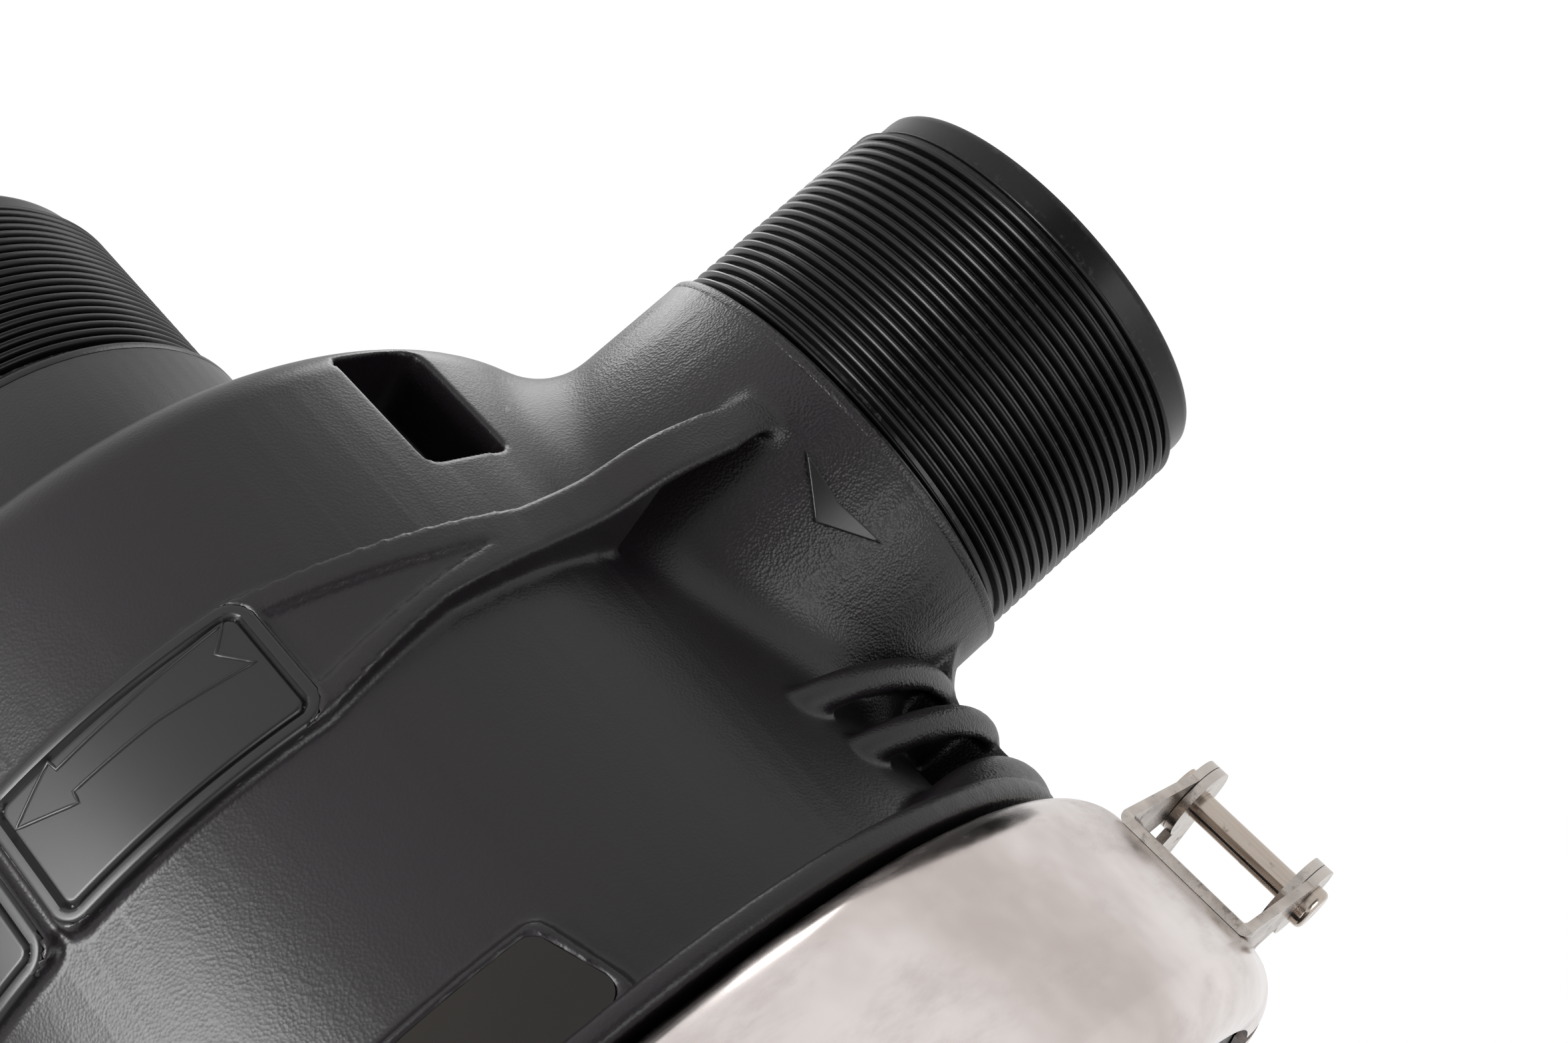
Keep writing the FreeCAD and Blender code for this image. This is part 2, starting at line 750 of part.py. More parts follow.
# A bracket of bent sheet: a curved base on the band and two flat ears that reach out to a pin.
def bracket(pin_x, pin_y, base_start, base_end, ear_gap, hole_radius):
    low = joint_height - ear_gap / 2 - bracket_sheet
    high = joint_height + ear_gap / 2 + bracket_sheet
    outer = bracket_seat_radius + bracket_sheet
    base = tube(outer, bracket_seat_radius, low, high - low)
    base = base.common(box((0, base_start, 0), (FAR, base_end, FAR)))
    ears = [ear(pin_x, pin_y, base_start, base_end, level) for level in (low, high - bracket_sheet)]
    solid = base.fuse(ears).removeSplitter()
    inner_levels = (low + bracket_sheet, high - bracket_sheet)
    solid = solid.makeFillet(bracket_inner_bend, bend_edges(solid, outer, inner_levels))
    solid = solid.makeFillet(bracket_bend_radius, bend_edges(solid, bracket_seat_radius, (low, high)))
    return solid.cut(upright_cylinder(hole_radius, pin_x, pin_y)).removeSplitter()


def headed_pin(x, y, radius, head_radius, ear_gap):
    half = ear_gap / 2 + bracket_sheet + rivet_gap
    low = joint_height - half
    high = joint_height + half
    shank = Part.makeCylinder(radius, high - low, Vector(x, y, low))
    head = Part.makeCylinder(head_radius, hinge_pin_head_height, Vector(x, y, high))
    tail = Part.makeCylinder(head_radius, hinge_pin_tail_height, Vector(x, y, low - hinge_pin_tail_height))
    rim = [edge for edge in head.Edges if edge.BoundBox.ZMin > high + hinge_pin_head_height - 0.1]
    return shank.fuse([head.makeFillet(hinge_pin_head_round, rim), tail]).removeSplitter()


# The hinge's brackets sit beside the pin: the outer pair of ears on the front half of the clamp.
def hinge_bracket(ear_gap, hole_radius):
    solid = bracket(-hinge_x, 0, bracket_start, bracket_start + bracket_base_width, ear_gap, hole_radius)
    return solid.mirror(ORIGIN, X)


def bolt_bracket():
    start = bolt_pivot_setback - bracket_ear_radius
    solid = bracket(bolt_x, bolt_pivot_setback, start, start + bracket_base_width, bolt_ear_gap,
                    bolt_pivot_radius + pin_press_clearance)
    return mirror_y(solid)


# The swing bolt is drawn swung out, along +X from its pivot.
def swing_bolt():
    pivot = Vector(bolt_x, -bolt_pivot_setback, joint_height)
    eye = Part.makeCylinder(bolt_eye_radius, bolt_eye_thickness, pivot - Z * bolt_eye_thickness / 2)
    shank = Part.makeCylinder(bolt_radius, bolt_length, pivot, X)
    tip = [edge for edge in shank.Edges if edge.BoundBox.XMin > bolt_x + bolt_length - 0.1]
    bolt = eye.fuse(shank.makeChamfer(bolt_tip_chamfer, tip))
    hole = upright_cylinder(bolt_pivot_radius + hinge_pin_clearance, pivot.x, pivot.y)
    return bolt.cut(hole).removeSplitter()


def washer_start():
    return bolt_x + bolt_pivot_setback + lug_setback + lug_sheet + latched_gap + nut_backed_off


# A ring or nut on the bolt gets its hole from the bolt's own radius.
def bolt_hole(start, length):
    return Part.makeCylinder(bolt_radius + washer_clearance, length, start, X)


def clamp_washer():
    start = Vector(washer_start(), -bolt_pivot_setback, joint_height)
    disc = Part.makeCylinder(washer_radius, washer_thickness, start, X)
    return disc.cut(bolt_hole(start, washer_thickness))


def hexagon(across, height, base, axis):
    corner = across / math.sqrt(3)
    points = []
    for k in range(6):
        turn = math.radians(60 * k)
        points.append(Vector(corner * math.cos(turn), corner * math.sin(turn), 0))
    prism = Part.Face(Part.makePolygon(points + points[:1])).extrude(Z * height)
    straight = height - hexagon_chamfer / 2
    cone = Part.makeCone(corner, corner - hexagon_chamfer, hexagon_chamfer, Z * straight)
    prism = prism.common(cone.fuse(Part.makeCylinder(corner, straight)))
    prism.Placement = FreeCAD.Placement(base, FreeCAD.Rotation(Z, axis))
    return prism


def clamp_nut():
    start = Vector(washer_start() + washer_thickness + nut_gap, -bolt_pivot_setback, joint_height)
    return hexagon(nut_width, nut_height, start, X).cut(bolt_hole(start, nut_height))


# The lug stands out from the rear half, with a slot open outwards for the swing bolt.
def lug_bracket():
    inner = bracket_seat_radius
    low = joint_height - lug_height / 2
    end_x = inner + lug_reach
    base = tube(inner + bracket_sheet, inner, low, lug_height)
    base = base.common(box((0, lug_setback, 0), (FAR, lug_setback + bracket_base_width, FAR)))
    plate = box((inner - lug_sheet, lug_setback, low), (end_x, lug_setback + lug_sheet, low + lug_height))
    corners = [edge for edge in plate.Edges if runs_along(edge, Y) and edge.BoundBox.XMin > end_x - 0.1]
    plate = plate.makeFillet(lug_corner_radius, corners)
    half = bolt_radius + lug_slot_clearance
    slot = box((bolt_x, 0, joint_height - half), (end_x + 1, FAR, joint_height + half))
    round_end = Part.makeCylinder(half, FAR, Vector(bolt_x, 0, joint_height), Y)
    return base.fuse(plate.cut([slot, round_end, upright_cylinder(inner)])).removeSplitter()


def drain_washer():
    return tube(plug_washer_radius, plug_radius + plug_clearance, boss_top, plug_washer_thickness)


def drain_plug():
    bottom = boss_top + plug_washer_thickness
    stem = Part.makeCylinder(plug_radius, plug_length, Vector(0, 0, bottom - plug_length))
    return stem.fuse(hexagon(plug_hex_width, plug_hex_height, Z * bottom, Z))


def element_base():
    socket_inner = port_bore_radius + standpipe_wall + element_socket_clearance
    inner = port_bore_radius - element_base_overhang
    plate = tube(element_base_radius, inner, element_floor, element_base_thickness)
    socket = tube(socket_inner + element_socket_wall, socket_inner, element_floor - element_socket_depth,
                  element_socket_depth)
    return plate.fuse(socket).removeSplitter()


def disc_pack(index):
    bottom = discs_bottom + disc_pack_gap + index * disc_pack_step
    top = bottom + disc_pack_height
    edge = disc_outer_radius - disc_pack_chamfer
    outline = [(disc_inner_radius, bottom), (edge, bottom), (disc_outer_radius, bottom + disc_pack_chamfer)]
    outline += [(disc_outer_radius, top - disc_pack_chamfer), (edge, top), (disc_inner_radius, top)]
    return revolve_z(outline)


def spine():
    bottom = discs_bottom + element_piece_gap
    slot = box((0, -spine_slot_width / 2, bottom + spine_slot_margin),
               (disc_outer_radius, spine_slot_width / 2, discs_top - spine_slot_margin))
    slots = [turned(slot, 360.0 * k / spine_slot_count) for k in range(spine_slot_count)]
    return tube(spine_radius, spine_radius - spine_wall, bottom, discs_top - bottom).cut(slots)


def pressure_plate():
    plate = Part.makeCylinder(element_base_radius, plate_thickness, Z * plate_bottom)
    stud = Part.makeCylinder(stud_radius, knob_height + stud_overhang, Z * (plate_bottom + plate_thickness))
    return plate.fuse(stud).removeSplitter()


def element_knob():
    hub = Part.makeCylinder(stud_radius + knob_hub_wall, knob_height, Z * knob_bottom)
    half = knob_wing_width / 2
    wing = box((0, -half, knob_bottom), (knob_radius, half, knob_bottom + knob_wing_height))
    wings = [turned(wing, 360.0 * k / knob_wing_count) for k in range(knob_wing_count)]
    return hub.fuse(wings).cut(upright_cylinder(stud_radius + stud_clearance)).removeSplitter()


os.makedirs("parts", exist_ok=True)
save(housing(), "housing")
save(badge(), "badge_plate")
save(seal(), "body_seal")
save(cover(), "cover")
save(clamp_half(True), "clamp_front")
save(clamp_half(False), "clamp_rear")
save(mirror_y(hinge_bracket(outer_ear_gap, hinge_pin_radius + pin_press_clearance)), "hinge_bracket_front")
save(hinge_bracket(inner_ear_gap, hinge_pin_radius + hinge_pin_clearance), "hinge_bracket_rear")
save(headed_pin(hinge_x, 0, hinge_pin_radius, hinge_pin_head_radius, outer_ear_gap), "hinge_pin")
save(bolt_bracket(), "bolt_bracket")
save(headed_pin(bolt_x, -bolt_pivot_setback, bolt_pivot_radius, bolt_pivot_head_radius, bolt_ear_gap),
     "bolt_pivot_pin")
save(swing_bolt(), "swing_bolt")
save(clamp_washer(), "clamp_washer")
save(clamp_nut(), "clamp_nut")
save(lug_bracket(), "lug_bracket")
save(drain_washer(), "drain_washer")
save(drain_plug(), "drain_plug")
save(element_base(), "element_base")
for pack_index in range(disc_pack_count):
    save(disc_pack(pack_index), "disc_pack_" + str(pack_index + 1))
save(spine(), "element_spine")
save(pressure_plate(), "pressure_plate")
save(element_knob(), "element_knob")
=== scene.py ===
"""Looks of a three inch angle filter: moulded housing with threaded ports, ribbed cover, steel band
clamp with its hinge and swing bolt, drain plug and disc element. Metres, in the frame of the CAD model."""
import json
import math

import bmesh
import bpy
from mathutils import Matrix, Vector


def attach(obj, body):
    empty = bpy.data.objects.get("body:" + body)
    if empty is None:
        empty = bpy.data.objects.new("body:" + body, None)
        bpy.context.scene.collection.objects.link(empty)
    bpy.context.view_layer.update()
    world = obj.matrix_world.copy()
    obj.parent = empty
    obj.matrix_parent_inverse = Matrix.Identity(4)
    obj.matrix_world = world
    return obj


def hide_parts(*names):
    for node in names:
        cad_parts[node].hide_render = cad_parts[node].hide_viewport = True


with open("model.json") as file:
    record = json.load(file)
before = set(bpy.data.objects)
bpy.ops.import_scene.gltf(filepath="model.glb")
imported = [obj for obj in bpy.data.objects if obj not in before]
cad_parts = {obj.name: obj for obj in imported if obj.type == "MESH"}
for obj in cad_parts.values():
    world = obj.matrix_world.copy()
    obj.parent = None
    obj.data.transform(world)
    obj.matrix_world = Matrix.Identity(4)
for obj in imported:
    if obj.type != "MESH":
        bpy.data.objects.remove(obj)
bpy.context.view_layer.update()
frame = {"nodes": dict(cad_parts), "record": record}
nodes = frame["nodes"]

MM = 0.001

# Ports and their threads, in millimetres
side_port_height = 159.0
side_port_reach = 174.0
thread_crest_radius = 43.94
thread_root_radius = 42.4
thread_pitch = 2.309
thread_start = 4.6
thread_length = 50.0
thread_sunk = 0.15
thread_steps = 128
thread_run_out = 2.0
least_ridge = 0.02
ridge_corners = {
    "Point 1": (-0.47, 0.0), "Point 2": (-0.0752, 1.0), "Point 3": (0.0752, 1.0), "Point 4": (0.47, 0.0),
}
neck_radius = 45.4

# Thread of the swing bolt, along X
bolt_axis = (-14.0, 264.5)
bolt_thread_start = 140.0
bolt_thread_end = 179.6
bolt_root_taper = 1.0
disc_thickness = 1.25
bolt_pitch = 1.5
bolt_root_radius = 4.2
bolt_crest_radius = 4.97
port_outline = (
    (36.0, 54.3), (36.0, 1.3), (37.3, 0.0), (41.1, 0.0), (41.8, 0.2), (42.2, 0.8), (42.3, 1.6), (42.3, 4.2),
    (42.4, 4.9), (42.4, 54.3),
)
port_steps = 180
tucked_outer_radius = 41.9
tucked_inner_radius = 36.6
tucked_end = 0.6
shoulder_outline = (
    (42.0, 54.2), (44.7, 54.2), (45.15, 54.35), (45.4, 54.75), (45.42, 55.2), (45.42, 55.9), (45.3, 56.2),
    (44.4, 56.4), (42.0, 56.4),
)
shoulder_end = 56.0
tucked_shoulder_radius = 44.9

# Raised arrowhead on the side neck: place along X, and angle round the port from -Y up
arrowhead_corners = ((-108.0, 17.9), (-101.1, 30.5), (-108.0, 44.4), (-106.4, 30.5))
arrowhead_height = 0.8
arrowhead_bevel = 0.35
arrowhead_root = 0.3
arrowhead_cuts = 9

# Outlined flow arrow on the first panel: angle round the shell from -Y towards -X, and height
flow_arrow_head = ((12.3, 161.1), (2.4, 159.2), (-6.9, 159.0), (-7.1, 160.9), (-13.0, 156.7),
                   (-7.1, 152.6), (-6.9, 154.5), (1.1, 154.0), (12.2, 152.8), (10.0, 156.4))
flow_arrow_line = 0.36
flow_arrow_sunk = 0.30
flow_arrow_step = 1.2
shell_radius = 88.5
panel_raise = 2.6

# Two framed panels on the belt: half width and heights as seen from -Y, and steps of the relief
panel_turns = (0.0, -32.0)
panel_half_width = 23.88
panel_bottom = 149.6
panel_top = 174.6
panel_corner = 4.6
panel_edge_round = 0.9
panel_groove = (1.9, 3.2)
panel_groove_depth = 0.95
panel_field_sunk = 0.2
panel_wall_drop = 3.3
panel_cell = 0.33
panel_bed = 2.3
panel_overlap = 0.5

# Where the ledges and the shelf ribs run out softly: centre, reach and number of smoothing passes
soft_spots = (
    ((-107.5, -47.5, 162.5), 11.0, 60), ((-107.5, 47.5, 162.5), 11.0, 60),
    ((-76.1, -51.8, 207.3), 8.0, 40), ((-76.1, 51.8, 207.3), 8.0, 40),
    ((-77.8, -49.1, 219.6), 8.0, 40), ((-77.8, 49.1, 219.6), 8.0, 40),
)

# Welds at the two ends of the hinge bracket's base on the band
weld_spots = ((-106.4, -8.0, 250.5), (-106.4, -8.0, 278.5))

# Moulded skins of the housing and the cover, and the gaps under which points are merged
merge_gap = 0.01
seam_gap = 0.005
skin_voxel = 0.72
skin_smoothing = 0.5
skin_smoothing_passes = 3
soft_smoothing = 0.7
skin_triangles = 190000
cover_voxel = 0.9
cover_triangles = 120000
cover_body = "housing"

# Camera that matches the photograph
image_width = 2357
sensor_width = 36.0
focal_pixels = 2950.34
camera_azimuth = math.radians(-11.05)
camera_elevation = math.radians(22.62)
camera_roll = math.radians(134.2)
camera_target = Vector((-105.16, 0.0, 161.58)) * MM
camera_distance = 376.46 * MM

# Studio: where the dark side of the room is, and how bright the rest looks in reflections.
# Soft boxes: place and aim in metres, size of the square face, and radiance of the face.
dark_side = (-16.0, 18.0)
dark_side_rim = 0.70
dark_side_heart = 0.95
dark_side_drop = 0.75
reflected_world = 0.95
diffuse_world = 0.22
floor_reach = 12.0
floor_white_share = 0.88
floor_extra_to_camera = 0.15
front_softbox_from_front = (-25.0, 55.0)
front_softbox_distance = 0.8
front_softbox_face = (0.42, 0.42)
front_softbox_radiance = 3.6
front_softbox_aim = Vector((-0.11, 0.0, 0.16))
low_softbox_place = Vector((0.27, -0.40, 0.02))
low_softbox_aim = Vector((0.02, -0.08, 0.19))
low_softbox_face = (0.30, 0.30)
low_softbox_radiance = 17.0
under_port_softbox_place = Vector((-0.13, -0.02, 0.012))
under_port_softbox_aim = Vector((-0.04, -0.02, 0.06))
under_port_softbox_face = (0.10, 0.12)
under_port_softbox_radiance = 3.5


# Shader nodes

class Shade:
    """A socket of a material. Python sums on it add Math nodes."""

    def __init__(self, tree, socket):
        self.tree = tree
        self.socket = socket

    def maths(self, operation, *values):
        inputs = dict(enumerate(values))
        return add_node(self.tree, "ShaderNodeMath", {"operation": operation}, inputs)

    def __add__(self, other):
        return self.maths("ADD", self, other)

    def __radd__(self, other):
        return self.maths("ADD", other, self)

    def __sub__(self, other):
        return self.maths("SUBTRACT", self, other)

    def __rsub__(self, other):
        return self.maths("SUBTRACT", other, self)

    def __mul__(self, other):
        return self.maths("MULTIPLY", self, other)

    def __rmul__(self, other):
        return self.maths("MULTIPLY", other, self)

    def largest(self, other):
        return self.maths("MAXIMUM", self, other)

    def smallest(self, other):
        return self.maths("MINIMUM", self, other)


def add_node(tree, kind, settings=None, inputs=None, output=0):
    node = tree.nodes.new(kind)
    for name, value in (settings or {}).items():
        setattr(node, name, value)
    for name, value in (inputs or {}).items():
        if isinstance(value, Shade):
            tree.links.new(value.socket, node.inputs[name])
        else:
            node.inputs[name].default_value = value
    return Shade(tree, node.outputs[output])


class Finish:
    """One material with its shader, and the patterns that feed it."""

    def __init__(self, name, **uniform):
        self.material = bpy.data.materials.new(name)
        self.material.use_nodes = True
        self.tree = self.material.node_tree
        self.shader = self.tree.nodes["Principled BSDF"]
        self.place = self.add("ShaderNodeTexCoord", output=3)
        for socket, value in uniform.items():
            self.shader.inputs[socket.replace("_", " ")].default_value = value

    def add(self, kind, settings=None, inputs=None, output=0):
        return add_node(self.tree, kind, settings, inputs, output)

    def noise(self, scale, detail=3.0, roughness=0.5, place=None):
        inputs = {"Vector": place or self.place, "Scale": scale, "Detail": detail, "Roughness": roughness}
        return self.add("ShaderNodeTexNoise", None, inputs)

    def cells(self, scale):
        return self.add("ShaderNodeTexVoronoi", None, {"Vector": self.place, "Scale": scale})

    def stretched(self, scale):
        return self.add("ShaderNodeMapping", None, {"Vector": self.place, "Scale": scale})

    def axis(self, name):
        split = {"X": 0, "Y": 1, "Z": 2}[name]
        return self.add("ShaderNodeSeparateXYZ", None, {"Vector": self.place}, split)

    def spread(self, value, low, high, out_low=0.0, out_high=1.0):
        inputs = {"Value": value, "From Min": low, "From Max": high, "To Min": out_low, "To Max": out_high}
        return self.add("ShaderNodeMapRange", {"interpolation_type": "SMOOTHSTEP"}, inputs)

    def blend_colours(self, amount, first, second):
        colours = {"Factor": amount}
        colours[6] = (*first, 1.0) if isinstance(first, tuple) else first
        colours[7] = (*second, 1.0) if isinstance(second, tuple) else second
        return self.add("ShaderNodeMix", {"data_type": "RGBA"}, colours, 2)

    def near(self, point, reach):
        """1 at a point given in millimetres, 0 further away than the reach."""
        inputs = {0: self.place, 1: Vector(point) * MM}
        gap = self.add("ShaderNodeVectorMath", {"operation": "DISTANCE"}, inputs, 1)
        return self.spread(gap, reach * MM, 0.3 * reach * MM)

    def convex_edge_mask(self, low=0.52, high=0.60):
        pointiness = self.add("ShaderNodeNewGeometry", output=7)
        return self.spread(pointiness, low, high)

    def feed(self, socket, value):
        self.tree.links.new(value.socket, self.shader.inputs[socket])

    def bump(self, *layers):
        normal = None
        for height, depth, strength in layers:
            inputs = {"Height": height, "Distance": depth * MM, "Strength": strength}
            if normal:
                inputs["Normal"] = normal
            normal = self.add("ShaderNodeBump", None, inputs)
        self.feed("Normal", normal)


def moulded_black():
    """Satin nylon with a fine leather grain, as on the housing and the cover."""
    finish = Finish("moulded_black", Specular_IOR_Level=0.42)
    tone = finish.noise(9.0, 4.0, 0.55)
    mottle = finish.noise(160.0, 3.0, 0.6)
    grain = finish.cells(1900.0)
    fine = finish.noise(2600.0, 2.0, 0.6)
    convex_edges = finish.convex_edge_mask()
    shade = finish.spread(tone, 0.3, 0.7)
    base = finish.blend_colours(shade, (0.0074, 0.0056, 0.0070), (0.0104, 0.0082, 0.0100))
    worn = finish.blend_colours(convex_edges * 0.35, base, (0.026, 0.024, 0.026))
    finish.feed("Base Color", worn)
    finish.feed("Roughness", 0.31 + tone * 0.06 + mottle * 0.06 - convex_edges * 0.05)
    neck = finish.spread(finish.axis("X"), -0.078, -0.100)
    finish.bump((grain * (0.4 + neck * 0.9), 0.10, 0.8), (fine, 0.03, 0.4))
    return finish.material


def threaded_black():
    """Glossier nylon of the port threads, with rougher spots on the crests that are painted lighter as
    highlights.
    """
    finish = Finish("threaded_black", Specular_IOR_Level=0.3)
    tone = finish.noise(30.0, 4.0, 0.55)
    fine = finish.noise(2200.0, 3.0, 0.7)
    scuffs = finish.noise(700.0, 5.0, 0.75)
    convex_edges = finish.convex_edge_mask(0.50, 0.56)
    crest_spots_rough_and_highlit = finish.spread(scuffs, 0.52, 0.62) * convex_edges
    base = finish.blend_colours(tone, (0.0035, 0.0033, 0.0037), (0.0060, 0.0056, 0.0060))
    # The lighter grey on the crest spots is a painted highlight; their extra roughness is real.
    finish.feed("Base Color", finish.blend_colours(crest_spots_rough_and_highlit * 0.6, base, (0.075, 0.073, 0.075)))
    finish.feed("Roughness", 0.24 + fine * 0.10 + crest_spots_rough_and_highlit * 0.2)
    finish.bump((fine, 0.012, 0.3), (scuffs, 0.03, 0.25))
    return finish.material


def smooth_black():
    """Polished patches of the mould: the panels and the raised arrows."""
    finish = Finish("smooth_black", Specular_IOR_Level=0.5)
    tone = finish.noise(60.0, 3.0, 0.5)
    fine = finish.noise(1800.0, 3.0, 0.6)
    convex_edges = finish.convex_edge_mask()
    base = finish.blend_colours(tone, (0.0060, 0.0054, 0.0062), (0.0090, 0.0082, 0.0092))
    finish.feed("Base Color", finish.blend_colours(convex_edges * 0.4, base, (0.03, 0.03, 0.032)))
    finish.feed("Roughness", 0.29 + fine * 0.10)
    finish.bump((fine, 0.008, 0.25))
    return finish.material


def glossy_badge():
    """Dark lacquered plate in its recess."""
    finish = Finish("glossy_badge", Specular_IOR_Level=0.36)
    tone = finish.noise(40.0, 3.0, 0.5)
    ripple = finish.noise(320.0, 2.0, 0.4)
    scratches = finish.noise(900.0, 5.0, 0.7, finish.stretched((1.0, 1.0, 6.0)))
    base = finish.blend_colours(tone, (0.008, 0.0062, 0.0045), (0.014, 0.011, 0.008))
    finish.feed("Base Color", base)
    finish.feed("Roughness", 0.14 + finish.spread(scratches, 0.55, 0.75) * 0.12)
    finish.bump((ripple, 0.01, 0.2))
    return finish.material


def polished_steel():
    """Pressed stainless strip of the band clamp: polished, faintly drawn along its length."""
    finish = Finish("polished_steel", Metallic=1.0)
    cloud = finish.noise(22.0, 4.0, 0.6)
    haze = finish.noise(70.0, 5.0, 0.65, finish.stretched((0.6, 0.6, 1.6)))
    drawn = finish.noise(420.0, 4.0, 0.65, finish.stretched((0.12, 0.12, 1.0)))
    swell = finish.noise(30.0, 1.0, 0.4)
    convex_edges = finish.convex_edge_mask(0.56, 0.64)
    clouded = finish.blend_colours(finish.spread(cloud, 0.35, 0.68), (0.80, 0.74, 0.72), (0.56, 0.49, 0.46))
    warm = finish.blend_colours(finish.spread(haze, 0.45, 0.72) * 0.45, clouded, (0.50, 0.44, 0.42))
    burnt = finish.near(weld_spots[0], 5.0).largest(finish.near(weld_spots[1], 5.0))
    blotch = burnt * finish.spread(finish.noise(600.0, 4.0, 0.7), 0.38, 0.60)
    welded = finish.blend_colours(blotch, warm, (0.13, 0.10, 0.09))
    finish.feed("Base Color", finish.blend_colours(convex_edges * 0.5, welded, (0.86, 0.83, 0.81)))
    finish.feed("Roughness", 0.15 + finish.spread(haze, 0.4, 0.7) * 0.16 + drawn * 0.06)
    finish.bump((swell, 1.0, 0.3), (drawn, 0.010, 0.25), (1.0 - burnt, 0.8, 0.5))
    return finish.material


def sheared_steel():
    """Nickel-bright steel of the hinge, bolt and nut, with sheared edges and small dark spots."""
    finish = Finish("sheared_steel", Metallic=1.0)
    cloud = finish.noise(90.0, 4.0, 0.6)
    marks = finish.noise(900.0, 5.0, 0.75)
    torn = finish.noise(420.0, 5.0, 0.8, finish.stretched((1.0, 1.0, 0.35)))
    stain = finish.spread(finish.noise(330.0, 4.0, 0.7), 0.56, 0.70)
    convex_edges = finish.convex_edge_mask()
    bright = finish.blend_colours(finish.spread(cloud, 0.3, 0.7), (0.52, 0.46, 0.41), (0.27, 0.22, 0.19))
    stained = finish.blend_colours(stain * 0.75, bright, (0.09, 0.065, 0.05))
    finish.feed("Base Color", finish.blend_colours(convex_edges * 0.5, stained, (0.72, 0.68, 0.64)))
    finish.feed("Roughness", 0.16 + marks * 0.18 + stain * 0.2)
    finish.bump((cloud, 0.3, 0.3), (torn, 0.12, 0.6), (marks, 0.03, 0.4))
    return finish.material


def turned_steel():
    """Smooth nickelled pins, with faint draw lines along them."""
    finish = Finish("turned_steel", Metallic=1.0)
    lines = finish.noise(1100.0, 4.0, 0.7, finish.stretched((1.0, 1.0, 0.04)))
    stain = finish.spread(finish.noise(260.0, 4.0, 0.7), 0.58, 0.72)
    bright = finish.blend_colours(lines, (0.60, 0.53, 0.46), (0.42, 0.35, 0.30))
    finish.feed("Base Color", finish.blend_colours(stain * 0.6, bright, (0.14, 0.10, 0.08)))
    finish.feed("Roughness", 0.10 + lines * 0.12 + stain * 0.2)
    finish.bump((lines, 0.02, 0.4))
    return finish.material


def seal_rubber():
    finish = Finish("seal_rubber", Specular_IOR_Level=0.35)
    dust = finish.noise(500.0, 5.0, 0.7)
    fine = finish.noise(3000.0, 3.0, 0.6)
    dusty = finish.spread(dust, 0.45, 0.7)
    base = finish.blend_colours(dusty, (0.011, 0.011, 0.011), (0.028, 0.027, 0.026))
    finish.feed("Base Color", base)
    finish.feed("Roughness", 0.62 + dust * 0.2)
    finish.bump((fine, 0.02, 0.4))
    return finish.material


def element_plastic():
    finish = Finish("element_plastic", Specular_IOR_Level=0.45)
    tone = finish.noise(25.0, 4.0, 0.6)
    fine = finish.noise(2000.0, 3.0, 0.6)
    convex_edges = finish.convex_edge_mask()
    base = finish.blend_colours(tone, (0.030, 0.031, 0.033), (0.045, 0.046, 0.049))
    finish.feed("Base Color", finish.blend_colours(convex_edges * 0.5, base, (0.10, 0.10, 0.105)))
    finish.feed("Roughness", 0.42 + fine * 0.1)
    finish.bump((fine, 0.02, 0.4))
    return finish.material


def red_discs():
    """Pressed rings: a fine groove between one disc and the next, painted dark as shade in the groove, and
    a slightly uneven red.
    """
    finish = Finish("red_discs", Specular_IOR_Level=0.45)
    layers = finish.axis("Z") * (1.0 / (disc_thickness * MM))
    offset = layers.maths("FRACT", layers) - 0.5
    groove = finish.spread(offset.maths("ABSOLUTE", offset), 0.36, 0.48)
    stain = finish.noise(45.0, 4.0, 0.6)
    fine = finish.noise(1600.0, 3.0, 0.6)
    base = finish.blend_colours(stain, (0.40, 0.020, 0.014), (0.27, 0.012, 0.010))
    # Near black in the groove is painted shade between the discs; the groove's shape comes from the bump.
    finish.feed("Base Color", finish.blend_colours(groove * 0.8, base, (0.06, 0.004, 0.004)))
    finish.feed("Roughness", 0.40 + fine * 0.15 + groove * 0.2)
    finish.bump((1.0 - groove, 0.35, 0.9), (fine, 0.02, 0.4))
    return finish.material


finishes = {
    "body_black": moulded_black(),
    "badge_gloss": glossy_badge(),
    "seal_rubber": seal_rubber(),
    "clamp_steel": polished_steel(),
    "hardware_steel": sheared_steel(),
    "element_plastic": element_plastic(),
    "disc_red": red_discs(),
}
thread_finish = threaded_black()
smooth_finish = smooth_black()
turned_finish = turned_steel()


# Meshes

def plain_mesh(source, name):
    """The evaluated object as a new plain mesh object, with its modifiers left behind."""
    graph = bpy.context.evaluated_depsgraph_get()
    mesh = bpy.data.meshes.new_from_object(source.evaluated_get(graph))
    mesh.name = name
    made = bpy.data.objects.new(name, mesh)
    bpy.context.scene.collection.objects.link(made)
    return made


def new_mesh_object(name, edit):
    mesh = bpy.data.meshes.new(name)
    edit.to_mesh(mesh)
    edit.free()
    made = bpy.data.objects.new(name, mesh)
    bpy.context.scene.collection.objects.link(made)
    return made


def sharpen(piece, angle):
    """Keeps edges above this angle crisp in a smooth-shaded piece."""
    piece.data.set_sharp_from_angle(angle=math.radians(angle))


def finish_piece(piece, body, material, replaced=()):
    piece.data.materials.clear()
    piece.data.materials.append(material)
    piece.data.shade_smooth()
    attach(piece, body)
    if replaced:
        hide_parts(*replaced)


def merged_copy(node, name):
    edit = bmesh.new()
    edit.from_mesh(nodes[node].data)
    bmesh.ops.remove_doubles(edit, verts=edit.verts, dist=merge_gap * MM)
    return new_mesh_object(name, edit)


